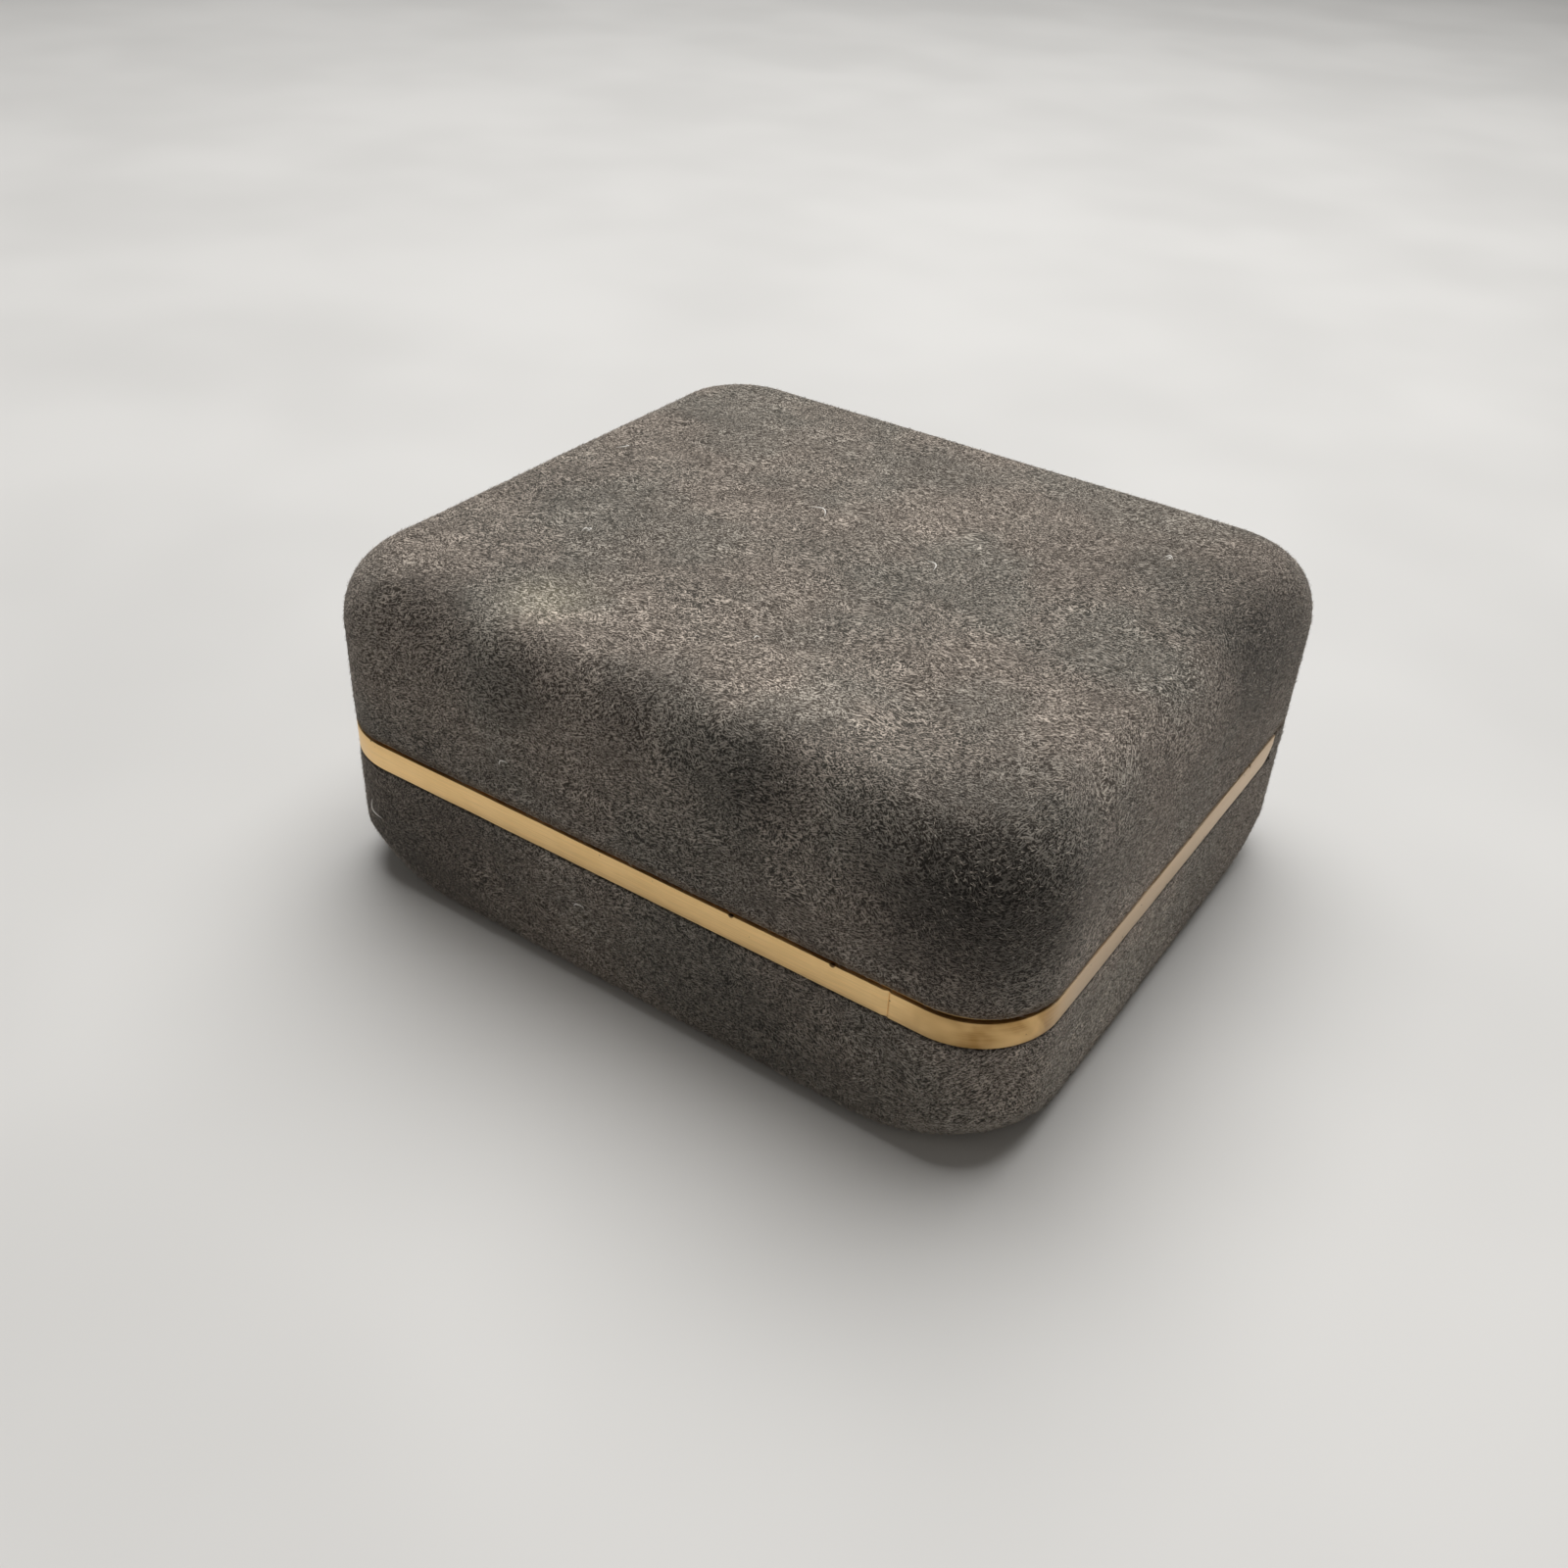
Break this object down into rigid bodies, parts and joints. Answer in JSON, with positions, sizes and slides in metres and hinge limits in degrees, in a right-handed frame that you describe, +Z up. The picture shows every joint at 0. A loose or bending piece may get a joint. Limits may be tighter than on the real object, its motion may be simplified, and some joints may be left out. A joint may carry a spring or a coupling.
{
  "type": "ring box",
  "caption": "Suede-covered ring box with a hinged lid, gold band, velvet platform with ring rolls and a satin-padded lid.",
  "frame": {"origin": "centre of the underside", "axes": "+X to the right across the width, -Y is the front, the hinge is at +Y, +Z up"},
  "size_m": [0.075, 0.0648, 0.0336],
  "materials": {
    "pressed_steel": "plain pressed sheet, satin",
    "suede": "short-napped suede, brushed in patches",
    "suede_panel": "short-napped suede on card",
    "gold_band": "satin, pale gold plated",
    "gold_rim": "satin, gold plated, thin",
    "satin": "woven satin, soft sheen",
    "satin_cushion": "woven satin, padded, soft sheen",
    "card": "grey board, matt",
    "velvet": "short velvet pile",
    "velvet_roll": "short velvet pile over foam",
    "foam": "open-cell foam, matt",
    "wadding": "soft white wadding",
    "hinge_brass": "satin, brass plated",
    "spring_steel": "bright drawn steel",
    "rivet_brass": "polished by setting"
  },
  "bodies": {
    "base": {"base_shell": "pressed_steel", "base_cover": "suede", "bottom_panel": "suede_panel", "trim_band": "gold_band", "base_lining": "satin", "insert_board": "card", "insert_cover": "velvet", "foam_block": "foam", "ring_roll_front": "velvet_roll", "ring_roll_rear": "velvet_roll", "hinge_base_leaf": "hinge_brass", "hinge_pin": "spring_steel", "snap_spring": "spring_steel", "base_rivets": "rivet_brass"},
    "lid": {"lid_shell": "pressed_steel", "lid_cover": "suede", "lid_rim": "gold_rim", "lid_lining": "satin", "lid_wadding": "wadding", "lid_pad_board": "card", "lid_pad": "satin_cushion", "hinge_lid_leaf": "hinge_brass", "lid_rivets": "rivet_brass"}
  },
  "joints": [
    {"name": "lid_hinge", "type": "hinge", "parent": "base", "child": "lid", "pos_m": [0, 0.03115, 0.01648], "axis": [-1, 0, 0], "range_deg": [0, 95]}
  ]
}
